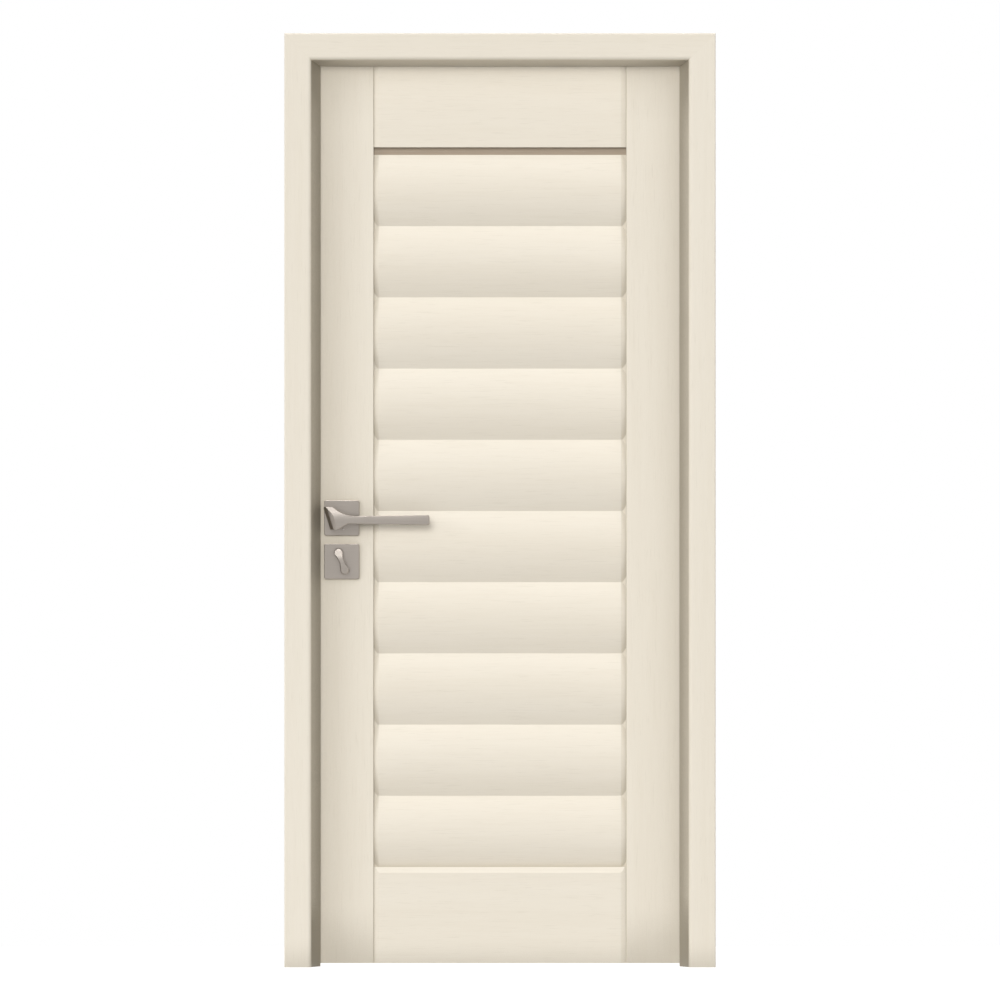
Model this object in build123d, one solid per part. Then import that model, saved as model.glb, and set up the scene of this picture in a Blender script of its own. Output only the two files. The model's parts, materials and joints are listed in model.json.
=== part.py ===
from build123d import *
import math
import os

# Interior door set: a leaf of two stiles, two rails and ten pillow slats in a rebated frame
# with casings, hung on three butt hinges, with a lever set, a thumb turn and a mortise lock.
# Millimetres, +Z up. The push side faces -Y, the hinges are on the +X side and the leaf
# swings away towards +Y. The origin is on the outer face of the hinge jamb, at floor level
# and at half the depth of the frame.

# Leaf
leaf_w = 820.0
leaf_h = 2010.0
leaf_t = 40.0
floor_gap = 7.0
stile_w = 128.0
top_rail_h = 190.0
bottom_rail_h = 214.0
edge_round = 1.5

# Gaps between the leaf and the frame
hinge_gap = 5.0
lock_gap = 6.5
head_gap = 5.0
shoulder_gap = 5.0

# Frame
frame_depth = 100.0
jamb_t = 35.0
stop_cover = 10.0
side_splay = 20.0
head_splay = 12.0
stop_round = 1.2

# Casings
casing_w = 60.0
casing_t = 12.0
casing_inner_round = 8.0
casing_outer_round = 3.0
back_setback = 7.0

# Rebate seal
kerf_w = 3.0
kerf_d = 6.0
kerf_inset = 7.5
bulb_w = 9.0
seal_clearance = 0.3

# Slats between the rails
slat_count = 10
slat_edge_t = 14.0
slat_mid_t = 38.0
shadow_gap = 17.0
tongue_t = 5.0
tongue_h = 8.0
tip_clearance = 0.5
tenon_t = 12.0
tenon_l = 12.0
end_ease_w = 11.5
end_ease_d = 4.4
sill_ease_w = 13.0
sill_ease_d = 3.0

# Lever set and thumb turn
backset = 57.0
lever_z = 1000.0
turn_z = 903.0
rose_size = 78.0
rose_t = 9.0
rose_round = 4.0
rose_edge = 0.8
journal_d = 18.0
running_gap = 0.05
rose_clearance = 0.5
fitting_edge = 1.2
crown_r = 60.0
lever_out = 48.0
lever_reach = 196.0
bar_t = 11.0
bar_drop = 4.5
bar_root_h = 17.5
bar_tip_h = 22.0
tip_round = 4.0
wing_top = 24.0
wing_foot = 26.0
wing_lean = 17.0
wing_foot_x = 33.0
wing_foot_out = 35.0
wing_crease_x = 16.0
wing_bulge = 1.5
crease_round = 5.0
neck_right = 14.0
neck_root = 25.0
bar_root_x = 34.0
spindle_side = 8.0
spindle_grip = 24.0
turn_spindle_side = 6.0
turn_spindle_grip = 12.0
turn_out = 30.0
turn_back = 14.0
turn_h = 60.0
turn_lobe_w = 19.0
turn_waist_w = 11.0
turn_lean = 20.0
turn_crown_r = 50.0
release_reach = 10.5
coin_slot_w = 2.5
coin_slot_l = 14.0
coin_slot_d = 2.0
stile_bore_d = 20.0

# Mortise lock
face_w = 20.0
face_h = 210.0
face_t = 3.0
case_t = 16.0
case_h = 180.0
case_depth = 82.0
bolt_clearance = 0.2
latch_t = 12.0
latch_h = 22.0
latch_reach = 12.0
latch_tail = 27.0
latch_nose = 3.0
dead_t = 10.0
dead_h = 26.0
dead_tail = 38.0
hub_d = 13.0

# Strike
strike_t = 2.0
strike_w = 26.0
strike_margin = 10.0
strike_lip = 4.0
strike_room = 2.5
pocket_depth = 18.0

# Hinges
hinge_h = 100.0
hinge_leaf_t = 2.5
hinge_leaf_depth = 28.0
knuckle_d = 13.0
knuckle_count = 3
knuckle_gap = 0.4
pin_d = 7.0
pin_clearance = 0.05
pin_proud = 7.0
pin_head_d = 10.0
pin_head_h = 3.0
hinge_inset = 180.0

# Places that follow from the sizes above. Across the door, a place is a half width
# measured from the centre line of the leaf.
y_front = -frame_depth / 2
y_back = frame_depth / 2
leaf_half = leaf_w / 2
outer_half = leaf_half + hinge_gap + jamb_t
stop_half = leaf_half - stop_cover
splay_half = stop_half + side_splay
centre_x = -outer_half
leaf_front = y_back - leaf_t
leaf_mid = y_back - leaf_t / 2
shoulder_y = leaf_front - shoulder_gap
leaf_bottom = floor_gap
leaf_top = floor_gap + leaf_h
stop_z = leaf_top - stop_cover
splay_z = stop_z + head_splay
head_z = leaf_top + head_gap
frame_top = head_z + jamb_t
field_half = leaf_half - stile_w
field_bottom = leaf_bottom + bottom_rail_h
field_top = leaf_top - top_rail_h - shadow_gap
slat_pitch = (field_top - field_bottom) / slat_count
lock_edge = centre_x - leaf_half
spindle_x = lock_edge + backset
pin_x = centre_x + leaf_half + hinge_gap / 2
pin_y = y_back + pin_proud
face_mid_z = (lever_z + turn_z) / 2
hinge_zs = {
    "bottom": leaf_bottom + hinge_inset + hinge_h / 2,
    "middle": (leaf_bottom + leaf_top) / 2,
    "top": leaf_top - hinge_inset - hinge_h / 2,
}


def block(x0, x1, y0, y1, z0, z1):
    """A box between two corners."""
    return Pos((x0 + x1) / 2, (y0 + y1) / 2, (z0 + z1) / 2) * Box(x1 - x0, y1 - y0, z1 - z0)


def prism(points, start, end, along):
    """A polygon swept along one axis. Its points are the other two coordinates, in order."""
    plane = {"X": Plane.YZ, "Y": Plane.XZ, "Z": Plane.XY}[along]
    if along == "Y":
        start, end = -end, -start
    face = make_face(plane.offset(start) * Polyline(*points, close=True))
    return extrude(face, amount=end - start, dir=plane.z_dir)


def bar_y(radius, x, z, y0, y1):
    """A round bar along Y."""
    return Pos(x, (y0 + y1) / 2, z) * Rot(90, 0, 0) * Cylinder(radius, y1 - y0)


def bar_z(radius, x, y, z0, z1):
    """A round bar along Z."""
    return Pos(x, y, (z0 + z1) / 2) * Cylinder(radius, z1 - z0)


def edges_near(solid, axis, points, reach=0.6):
    """The straight edges along an axis that pass within reach of a point."""
    picked = []
    for edge in solid.edges().filter_by(axis):
        for point in points:
            gap = edge.center() - Vector(*point)
            across = gap - Vector(*axis.direction) * gap.dot(Vector(*axis.direction))
            if across.length < reach:
                picked.append(edge)
                break
    return picked


def side_sign(side):
    return 1 if side == "hinge" else -1


def rebate_half(side):
    return leaf_half + (hinge_gap if side == "hinge" else lock_gap)


def across(side, half):
    """The x of a half width on the hinge side or the lock side."""
    return centre_x + side_sign(side) * half


def side_jamb(side):
    """An upright: splayed stop at the front, rebate for the leaf at the back."""
    corner = rebate_half(side)
    points = [
        (across(side, splay_half), y_front),
        (across(side, stop_half), shoulder_y),
        (across(side, corner), shoulder_y),
        (across(side, corner), y_back),
        (across(side, outer_half), y_back),
        (across(side, outer_half), y_front),
    ]
    jamb = prism(points, 0, frame_top, "Z")
    tips = [(across(side, stop_half), shoulder_y, 0), (across(side, corner), y_back, 0)]
    return fillet(edges_near(jamb, Axis.Z, tips), stop_round)


def head_jamb(sides):
    """The head of the frame, cut to the uprights so that the splays meet in a mitre."""
    points = [
        (y_front, splay_z),
        (shoulder_y, stop_z),
        (shoulder_y, head_z),
        (y_back, head_z),
        (y_back, frame_top),
        (y_front, frame_top),
    ]
    head = prism(points, centre_x - outer_half, centre_x + outer_half, "X")
    tips = [(0, shoulder_y, stop_z), (0, y_back, head_z)]
    head = fillet(edges_near(head, Axis.X, tips), stop_round)
    for jamb in sides:
        head -= jamb
    return head


def seal_path():
    """The line of the seal up one upright, over the head and down the other."""
    half = stop_half + kerf_inset
    top = stop_z + kerf_inset
    left, right = centre_x - half, centre_x + half
    return Polyline(
        (left, shoulder_y, 0), (left, shoulder_y, top), (right, shoulder_y, top), (right, shoulder_y, 0)
    )


def seal_sweep(section):
    return sweep(section, path=seal_path(), transition=Transition.RIGHT)


def seal_stem():
    """The strip that sits in the kerf of the rebate shoulder."""
    start = centre_x - stop_half - kerf_inset
    centre = Pos(start, shoulder_y - kerf_d / 2, 0)
    return seal_sweep(centre * Rectangle(kerf_w, kerf_d))


def rebate_seal():
    """The rubber seal: a stem in the kerf and a bulb that the leaf closes on."""
    start = centre_x - stop_half - kerf_inset
    crown = shoulder_gap - seal_clearance
    arc = ThreePointArc((-bulb_w / 2, 0), (0, crown), (bulb_w / 2, 0))
    foot = Line((bulb_w / 2, 0), (-bulb_w / 2, 0))
    bulb = Pos(start, shoulder_y, 0) * make_face(Curve() + [arc, foot])
    return seal_stem() + seal_sweep(bulb)


def casing(place, face):
    """One mitred length of casing, on the front or the back of the frame."""
    front = face == "front"
    inner = splay_half if front else leaf_half + hinge_gap + back_setback
    inner_top = splay_z if front else head_z + back_setback
    outer = splay_half + casing_w
    outer_top = splay_z + casing_w
    y0, y1 = (y_front - casing_t, y_front) if front else (y_back, y_back + casing_t)
    skin = y0 if front else y1
    if place == "head":
        points = [
            (centre_x - inner, inner_top),
            (centre_x - outer, outer_top),
            (centre_x + outer, outer_top),
            (centre_x + inner, inner_top),
        ]
        solid = prism(points, y0, y1, "Y")
        solid = fillet(edges_near(solid, Axis.X, [(0, skin, inner_top)]), casing_inner_round)
        return fillet(edges_near(solid, Axis.X, [(0, skin, outer_top)]), casing_outer_round)
    side = "hinge" if place == "right" else "lock"
    points = [
        (across(side, inner), 0),
        (across(side, outer), 0),
        (across(side, outer), outer_top),
        (across(side, inner), inner_top),
    ]
    solid = prism(points, y0, y1, "Y")
    solid = fillet(edges_near(solid, Axis.Z, [(across(side, inner), skin, 0)]), casing_inner_round)
    return fillet(edges_near(solid, Axis.Z, [(across(side, outer), skin, 0)]), casing_outer_round)


def stile(side):
    """An upright of the leaf, with a groove down its inner edge for the tenons."""
    sign = side_sign(side)
    outer = across(side, leaf_half)
    inner = across(side, field_half)
    solid = block(min(outer, inner), max(outer, inner), leaf_front, y_back, leaf_bottom, leaf_top)
    corners = [(x, y, 0) for x in (outer, inner) for y in (leaf_front, y_back)]
    solid = fillet(edges_near(solid, Axis.Z, corners), edge_round)
    bottom = inner + sign * (tenon_l + tip_clearance)
    groove = block(
        min(inner, bottom) - (1 if sign > 0 else 0),
        max(inner, bottom) + (1 if sign < 0 else 0),
        leaf_mid - tenon_t / 2,
        leaf_mid + tenon_t / 2,
        leaf_bottom - 1,
        leaf_top + 1,
    )
    return solid - groove


def eased_face(length, out, width, deep):
    """A face from the middle plane to a front at out, bevelled at both ends of its length."""
    right = [(length / 2 - width, out), (length / 2, out - deep)]
    left = [(-x, y) for x, y in reversed(right)]
    return make_face(Polyline(*left, *right, (length / 2, 0), (-length / 2, 0), close=True))


def tenons(z0, z1):
    """The strip down the middle of a rail or slat that runs out into the stiles' grooves."""
    half = field_half + tenon_l
    return block(centre_x - half, centre_x + half, leaf_mid - tenon_t / 2, leaf_mid + tenon_t / 2, z0, z1)


def tongue(z0, z1):
    """The strip on an edge that enters the groove of the piece above."""
    half = field_half + tenon_l
    return block(centre_x - half, centre_x + half, leaf_mid - tongue_t / 2, leaf_mid + tongue_t / 2, z0, z1)


def both_faces(front):
    """A solid that stands in front of the middle plane, together with its mirror image."""
    return front + mirror(front, about=Plane.XZ.offset(-leaf_mid))


def rail(z0, z1):
    """A flat rail with eased ends and a tenon at each end."""
    plan = Pos(centre_x, leaf_mid, z0) * mirror(
        eased_face(2 * field_half, leaf_t / 2, end_ease_w, end_ease_d), about=Plane.XZ
    )
    return both_faces(extrude(plan, amount=z1 - z0, dir=(0, 0, 1))) + tenons(z0, z1)


def bottom_rail():
    """The bottom rail: its top edge is eased like a sill below the lowest slat."""
    body = rail(leaf_bottom, field_bottom)
    sill = (leaf_front, field_bottom - sill_ease_w)
    waste = [sill, (leaf_front + sill_ease_d, field_bottom), (leaf_front, field_bottom)]
    waste = prism(waste, centre_x - field_half, centre_x + field_half, "X")
    body -= waste + mirror(waste, about=Plane.XZ.offset(-leaf_mid))
    return body + tongue(field_bottom, field_bottom + tongue_h)


def top_rail():
    """The top rail, with the recessed strip below it that makes the shadow line."""
    solid = rail(leaf_top - top_rail_h, leaf_top)
    return solid + tongue(field_top + tongue_h, leaf_top - top_rail_h)


def slat(number):
    """A pillow slat: each face is turned about the axis of its own curve, its ends are bevelled, and it
    has a tongue on top, a groove below and tenons."""
    z0 = field_bottom + number * slat_pitch
    z1 = z0 + slat_pitch
    edge, mid = slat_edge_t / 2, slat_mid_t / 2
    rise = mid - edge
    radius = (rise**2 + (slat_pitch / 2) ** 2) / (2 * rise)
    profile = eased_face(2 * field_half, radius, end_ease_w, end_ease_d)
    spread = 4 * math.degrees(math.asin(slat_pitch / 2 / radius))
    drum = revolve(profile, axis=Axis.X, revolution_arc=spread)
    drum = Pos(centre_x, leaf_mid - mid + radius, (z0 + z1) / 2) * Rot(180 - spread / 2, 0, 0) * drum
    room = block(centre_x - field_half, centre_x + field_half, leaf_mid - mid, leaf_mid, z0, z1)
    body = both_faces(drum & room) + tenons(z0, z1)
    body -= tongue(z0, z0 + tongue_h + tip_clearance)
    return body + tongue(z1, z1 + tongue_h)


def fitting_plane(z):
    """The plane of the leaf's front face at a fitting: right, up and out towards the viewer."""
    return Plane(origin=(spindle_x, leaf_front, z), x_dir=(1, 0, 0), z_dir=(0, -1, 0))


def to_back(solid):
    """The same fitting on the other side of the leaf."""
    return mirror(solid, about=Plane.XZ.offset(-leaf_mid))


def rose(z):
    """A square rose with a bore for the journal."""
    plate = RectangleRounded(rose_size, rose_size, rose_round)
    body = extrude(fitting_plane(z) * plate, amount=rose_t)
    body = chamfer(body.faces().sort_by(Axis.Y)[0].edges(), rose_edge)
    return body - bar_y(journal_d / 2, spindle_x, z, leaf_front - rose_t - 1, leaf_front + 1)


def journal(z, out_from, out_to):
    """The round neck that turns in the rose's bore."""
    return bar_y(journal_d / 2 - running_gap, spindle_x, z, leaf_front - out_to, leaf_front - out_from)


def square_bar(side, z, grip):
    """A square spindle through the leaf, gripped on both sides."""
    return block(
        spindle_x - side / 2,
        spindle_x + side / 2,
        leaf_front - grip,
        y_back + grip,
        z - side / 2,
        z + side / 2,
    )


def crown(plane, out, radius, height, half_length):
    """A round bar along X whose front touches a distance out at a height: it crowns a fitting."""
    return plane * Pos(0, height, out - radius) * Rot(0, 90, 0) * Cylinder(radius, 2 * half_length)


def lever_plan():
    """The lever seen along its leaning wing, which sweeps out from the rose to the crease, from
    which the bar runs on."""
    foot_out = rose_t + rose_clearance
    back_out = lever_out - bar_t
    foot = (-wing_foot_x, wing_foot_out)
    crease = (-wing_crease_x, lever_out)
    chord = Vector(*crease) - Vector(*foot)
    middle = (Vector(*foot) + Vector(*crease)) / 2 + Vector(-chord.Y, chord.X).normalized() * wing_bulge
    front = [foot, (middle.X, middle.Y), crease, (lever_reach, lever_out), (lever_reach, back_out)]
    back = [(bar_root_x, back_out), (neck_right, neck_root), (neck_right, foot_out)]
    back.append((-wing_foot_x, foot_out))
    return make_face(Polyline(*front, *back, close=True))


def lever_outline():
    """The lever from the front: a leaning wing that narrows to a bar, which widens to its tip."""
    left = -lever_reach / 2
    root_top = bar_root_h / 2 - bar_drop
    root_low = -bar_root_h / 2 - bar_drop
    tip_top = root_top + (bar_tip_h - bar_root_h) / 2
    tip_low = root_low - (bar_tip_h - bar_root_h) / 2
    shoulder = -wing_crease_x - wing_top * math.tan(math.radians(wing_lean)) + crease_round
    heel = -wing_crease_x + wing_foot * math.tan(math.radians(wing_lean))
    lines = [
        Line((left, wing_top), (shoulder, wing_top)),
        TangentArc((bar_root_x, root_top), (shoulder, wing_top), tangent=(-1, 0)),
        Line((bar_root_x, root_top), (lever_reach, tip_top)),
        Line((lever_reach, tip_top), (lever_reach, tip_low)),
        Line((lever_reach, tip_low), (neck_right, root_low)),
        Line((neck_right, root_low), (heel, -wing_foot)),
        Line((heel, -wing_foot), (left, -wing_foot)),
        Line((left, -wing_foot), (left, wing_top)),
    ]
    return make_face(Curve() + lines)


def lever():
    """A lever whose wing leans over the rose to a crease, from which the bar runs."""
    plane = fitting_plane(lever_z)
    lean = math.tan(math.radians(wing_lean))
    up = plane.y_dir - plane.x_dir * lean
    level = Plane(origin=plane.origin - up * wing_foot, x_dir=plane.x_dir, z_dir=-plane.y_dir)
    body = extrude(level * lever_plan(), amount=(wing_foot + wing_top) * up.length, dir=up)
    crease = plane.origin - plane.x_dir * wing_crease_x + plane.z_dir * lever_out
    crease += up * (wing_top - wing_foot) / 2
    body = fillet([e for e in body.edges() if (e.center() - crease).length < 0.1], crease_round)
    body &= extrude(plane * lever_outline(), amount=lever_out)
    tip = [e for e in body.edges().filter_by(Axis.Y) if e.center().X > spindle_x + lever_reach - 1]
    body = fillet(tip, tip_round)
    body &= crown(plane, lever_out, crown_r, -bar_drop, lever_reach + 1)
    face = [f for f in body.faces() if f.geom_type == GeomType.CYLINDER and abs(f.radius - crown_r) < 0.01]
    rim = [e for e in face[0].edges() if e.center().X > spindle_x - wing_crease_x + crease_round]
    body = chamfer(rim, fitting_edge)
    body += journal(lever_z, 1, rose_t + rose_clearance)
    return body - square_bar(spindle_side, lever_z, spindle_grip)


def turn_outline():
    """The thumb turn's grip from the front: two round lobes and a waist between them."""
    lobe, waist = turn_lobe_w / 2, turn_waist_w / 2
    centre = turn_h / 2 - lobe
    flank_r = (waist**2 + centre**2 - lobe**2) / (2 * (lobe - waist))
    share = lobe / (lobe + flank_r)
    x, y = (waist + flank_r) * share, centre * (1 - share)
    lines = [
        ThreePointArc((x, y), (0, turn_h / 2), (-x, y)),
        ThreePointArc((-x, y), (-waist, 0), (-x, -y)),
        ThreePointArc((-x, -y), (0, -turn_h / 2), (x, -y)),
        ThreePointArc((x, -y), (waist, 0), (x, y)),
    ]
    return make_face(Curve() + lines)


def thumb_turn():
    """A thumb turn in the lever's manner: a round neck with a leaning, waisted, crowned grip."""
    plane = fitting_plane(turn_z)
    outline = plane.offset(turn_back) * Rot(0, 0, turn_lean) * turn_outline()
    grip = extrude(outline, amount=turn_out - turn_back)
    grip &= crown(plane, turn_out, turn_crown_r, 0, turn_h)
    grip = chamfer(grip.faces().sort_by(Axis.Y)[0].edges(), fitting_edge)
    body = grip + journal(turn_z, 1, turn_back + 1)
    return body - square_bar(turn_spindle_side, turn_z, turn_spindle_grip)


def release_disc():
    """The round emergency release on the back rose, with a coin slot."""
    out = leaf_front - release_reach
    disc = journal(turn_z, 1, release_reach)
    slot = block(
        spindle_x - coin_slot_l / 2,
        spindle_x + coin_slot_l / 2,
        out - 1,
        out + coin_slot_d,
        turn_z - coin_slot_w / 2,
        turn_z + coin_slot_w / 2,
    )
    inner_grip = release_reach - coin_slot_d - 1
    socket = block(
        spindle_x - turn_spindle_side / 2,
        spindle_x + turn_spindle_side / 2,
        leaf_front - inner_grip,
        leaf_front,
        turn_z - turn_spindle_side / 2,
        turn_z + turn_spindle_side / 2,
    )
    return to_back(disc - slot - socket)


def turn_spindle():
    """The square spindle from the thumb turn to the release disc."""
    return block(
        spindle_x - turn_spindle_side / 2,
        spindle_x + turn_spindle_side / 2,
        leaf_front - turn_spindle_grip,
        y_back + release_reach - coin_slot_d - 1,
        turn_z - turn_spindle_side / 2,
        turn_z + turn_spindle_side / 2,
    )


def bolt_room(thick, high, z, x0, x1, room):
    """The space round a bolt, with room on each side of it."""
    return block(
        x0,
        x1,
        leaf_mid - thick / 2 - room,
        leaf_mid + thick / 2 + room,
        z - high / 2 - room,
        z + high / 2 + room,
    )


def latch_bolt():
    """The spring latch, bevelled on the side that meets the strike as the leaf closes."""
    tip = lock_edge - latch_reach
    front = leaf_mid - latch_t / 2
    back = leaf_mid + latch_t / 2
    points = [
        (lock_edge + latch_tail, front),
        (lock_edge - 1, front),
        (tip, back - latch_nose),
        (tip, back),
        (lock_edge + latch_tail, back),
    ]
    return prism(points, lever_z - latch_h / 2, lever_z + latch_h / 2, "Z")


def deadbolt():
    """The deadbolt, flush with the face plate when it is drawn back."""
    return bolt_room(dead_t, dead_h, turn_z, lock_edge, lock_edge + dead_tail, 0)


def face_outline(x0, x1, grow=0.0):
    """The face plate's shape, with round ends."""
    half = face_w / 2 + grow
    plane = Plane(origin=(x0, leaf_mid, face_mid_z), x_dir=(0, 1, 0), z_dir=(1, 0, 0))
    return extrude(plane * RectangleRounded(2 * half, face_h + 2 * grow, half - 0.01), amount=x1 - x0)


def face_plate():
    plate = face_outline(lock_edge, lock_edge + face_t)
    plate -= bolt_room(latch_t, latch_h, lever_z, lock_edge - 1, lock_edge + face_t + 1, bolt_clearance)
    return plate - bolt_room(dead_t, dead_h, turn_z, lock_edge - 1, lock_edge + face_t + 1, bolt_clearance)


def case_block():
    return block(
        lock_edge + face_t,
        lock_edge + case_depth,
        leaf_mid - case_t / 2,
        leaf_mid + case_t / 2,
        face_mid_z - case_h / 2,
        face_mid_z + case_h / 2,
    )


def lock_case():
    """The lock's case, with the channels that the two bolts slide in."""
    solid = case_block()
    inner = lock_edge + face_t - 1
    latch_end = lock_edge + latch_tail + latch_reach + 1
    solid -= bolt_room(latch_t, latch_h, lever_z, inner, latch_end, bolt_clearance)
    solid -= bolt_room(dead_t, dead_h, turn_z, inner, lock_edge + dead_tail + 1, bolt_clearance)
    for z in (lever_z, turn_z):
        solid -= bar_y(hub_d / 2, spindle_x, z, leaf_front, y_back)
    return solid


def strike_outline(x0, x1):
    """The strike plate's shape: a plain strip with a lip beside the latch."""
    low, high = face_mid_z - face_h / 2 + strike_margin, face_mid_z + face_h / 2 - strike_margin
    strip = block(x0, x1, leaf_mid - strike_w / 2, leaf_mid + strike_w / 2, low, high)
    lip = block(
        x0,
        x1,
        leaf_mid,
        leaf_mid + strike_w / 2 + strike_lip,
        lever_z - latch_h,
        lever_z + latch_h,
    )
    return strip + lip


def strike_holes(x0, x1):
    return bolt_room(latch_t, latch_h, lever_z, x0, x1, strike_room) + bolt_room(
        dead_t, dead_h, turn_z, x0, x1, strike_room
    )


def hinge_plate(z, x0, x1, own):
    """One leaf of a butt hinge with its own knuckles, numbered from the bottom."""
    low = z - hinge_h / 2
    step = hinge_h / knuckle_count
    plate = block(x0, x1, y_back - hinge_leaf_depth, y_back, low, low + hinge_h)
    for number in own:
        z0 = low + number * step + (knuckle_gap / 2 if number > 0 else 0)
        z1 = low + (number + 1) * step - (knuckle_gap / 2 if number < knuckle_count - 1 else 0)
        plate += block(x0, x1, y_back, pin_y, z0, z1)
        plate += bar_z(knuckle_d / 2, pin_x, pin_y, z0, z1)
    bore = pin_d / 2 + pin_clearance
    return plate - bar_z(bore, pin_x, pin_y, low - 1, low + hinge_h + 1)


def hinge_pin(z):
    """A hinge pin with a button head at each end."""
    reach = hinge_h / 2
    pin = bar_z(pin_d / 2, pin_x, pin_y, z - reach, z + reach)
    head = bar_z(pin_head_d / 2, pin_x, pin_y, z + reach, z + reach + pin_head_h)
    foot = bar_z(pin_head_d / 2, pin_x, pin_y, z - reach - pin_head_h, z - reach)
    return pin + head + foot


def frame_plate_x():
    return across("hinge", rebate_half("hinge"))


def build():
    """Every node of the door set, by name."""
    nodes = {}

    hinge_jamb = side_jamb("hinge")
    lock_jamb = side_jamb("lock")
    head = head_jamb([hinge_jamb, lock_jamb])
    stem = seal_stem()
    strike_x = across("lock", rebate_half("lock"))
    lock_jamb -= strike_outline(strike_x - strike_t, strike_x)
    lock_jamb -= strike_holes(strike_x - pocket_depth, strike_x)
    jamb_face = frame_plate_x()
    door_face = across("hinge", leaf_half)
    hinge_stile = stile("hinge")
    odd = range(0, knuckle_count, 2)
    even = range(1, knuckle_count, 2)
    for place, z in hinge_zs.items():
        frame_leaf = hinge_plate(z, jamb_face, jamb_face + hinge_leaf_t, odd)
        door_leaf = hinge_plate(z, door_face - hinge_leaf_t, door_face, even)
        low, high = z - hinge_h / 2, z + hinge_h / 2
        inner = y_back - hinge_leaf_depth
        hinge_jamb -= block(jamb_face, jamb_face + hinge_leaf_t, inner, y_back + 1, low, high)
        hinge_stile -= block(door_face - hinge_leaf_t, door_face, inner, y_back + 1, low, high)
        nodes["frame_hinge_" + place] = frame_leaf
        nodes["door_hinge_" + place] = door_leaf
    nodes["hinge_pins"] = Compound(children=[hinge_pin(z).solid() for z in hinge_zs.values()])
    nodes["hinge_jamb"] = hinge_jamb - stem
    nodes["lock_jamb"] = lock_jamb - stem
    nodes["head_jamb"] = head - stem
    nodes["rebate_seal"] = rebate_seal()
    nodes["strike_plate"] = strike_outline(strike_x - strike_t, strike_x) - strike_holes(
        strike_x - pocket_depth, strike_x + 1
    )
    for face in ("front", "back"):
        for place in ("left", "right", "head"):
            nodes[face + "_casing_" + place] = casing(place, face)

    lock_stile = stile("lock") - case_block() - face_outline(lock_edge - 1, lock_edge + face_t)
    for z in (lever_z, turn_z):
        lock_stile -= bar_y(stile_bore_d / 2, spindle_x, z, leaf_front - 1, y_back + 1)
    nodes["lock_stile"] = lock_stile
    nodes["hinge_stile"] = hinge_stile
    nodes["top_rail"] = top_rail()
    nodes["bottom_rail"] = bottom_rail()
    for number in range(slat_count):
        nodes["slat_%02d" % (number + 1)] = slat(number)
    nodes["lock_case"] = lock_case()
    nodes["face_plate"] = face_plate()

    for kind, z in (("lever", lever_z), ("turn", turn_z)):
        plate = rose(z)
        nodes["front_" + kind + "_rose"] = plate
        nodes["back_" + kind + "_rose"] = to_back(plate)
    front_lever = lever()
    nodes["front_lever"] = front_lever
    nodes["back_lever"] = to_back(front_lever)
    nodes["lever_spindle"] = square_bar(spindle_side, lever_z, spindle_grip)
    nodes["latch_bolt"] = latch_bolt()
    nodes["thumb_turn"] = thumb_turn()
    nodes["turn_spindle"] = turn_spindle()
    nodes["release_disc"] = release_disc()
    nodes["deadbolt"] = deadbolt()
    return nodes


if __name__ == "__main__":
    os.makedirs("parts", exist_ok=True)
    for name, shape in build().items():
        export_step(shape, "parts/" + name + ".step")
        print(name, "%.0f" % shape.volume)
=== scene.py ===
import json
import math
import bmesh
import bpy
from mathutils import Matrix, Vector


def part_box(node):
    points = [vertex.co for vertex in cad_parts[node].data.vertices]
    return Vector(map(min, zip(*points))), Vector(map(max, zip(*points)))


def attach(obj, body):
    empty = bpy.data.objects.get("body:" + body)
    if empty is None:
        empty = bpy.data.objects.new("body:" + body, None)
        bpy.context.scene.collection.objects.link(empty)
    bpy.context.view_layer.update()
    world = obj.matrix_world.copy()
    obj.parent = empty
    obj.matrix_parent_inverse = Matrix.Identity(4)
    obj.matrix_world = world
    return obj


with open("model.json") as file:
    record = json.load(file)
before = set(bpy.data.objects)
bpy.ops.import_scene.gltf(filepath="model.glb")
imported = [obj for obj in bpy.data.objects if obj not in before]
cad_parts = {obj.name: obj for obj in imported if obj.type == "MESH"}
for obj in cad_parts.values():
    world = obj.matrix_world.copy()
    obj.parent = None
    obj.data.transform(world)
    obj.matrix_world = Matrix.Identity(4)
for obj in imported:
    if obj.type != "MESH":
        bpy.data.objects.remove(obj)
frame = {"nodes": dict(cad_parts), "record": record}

# Interior door in its frame, seen square on from the push side.
# Metres, +Z up, the photographed side faces -Y, the hinges are at +X.

for name in ("Cube", "Camera", "Light"):
    spare = bpy.data.objects.get(name)
    if spare:
        bpy.data.objects.remove(spare)
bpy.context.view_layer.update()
nodes = frame["nodes"]
view = bpy.context.scene.view_settings
view.view_transform = "Standard"
print("frame loaded,", len(nodes), "nodes")


# helpers that shorten the node trees

def addNode(tree, kind, at, **settings):
    node = tree.nodes.new(kind)
    node.location = at
    for key, value in settings.items():
        setattr(node, key, value)
    return node


def join(tree, source, target):
    tree.links.new(source, target)


def startGroup(name, inputs, outputs):
    tree = bpy.data.node_groups.new(name, "ShaderNodeTree")
    for label, kind, value in inputs:
        socket = tree.interface.new_socket(label, in_out="INPUT", socket_type="NodeSocket" + kind)
        if value is not None:
            socket.default_value = value
    for label, kind in outputs:
        tree.interface.new_socket(label, in_out="OUTPUT", socket_type="NodeSocket" + kind)
    start = addNode(tree, "NodeGroupInput", (-1400, 0))
    end = addNode(tree, "NodeGroupOutput", (900, 0))
    return tree, start, end


def placeGroup(tree, group, at, **values):
    node = addNode(tree, "ShaderNodeGroup", at, node_tree=group)
    for label, value in values.items():
        node.inputs[label].default_value = value
    return node


def mathNode(tree, operation, at, *values):
    node = addNode(tree, "ShaderNodeMath", at, operation=operation)
    for socket, value in zip(node.inputs, values):
        if isinstance(value, (int, float)):
            socket.default_value = value
        else:
            join(tree, value, socket)
    return node.outputs[0]


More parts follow.
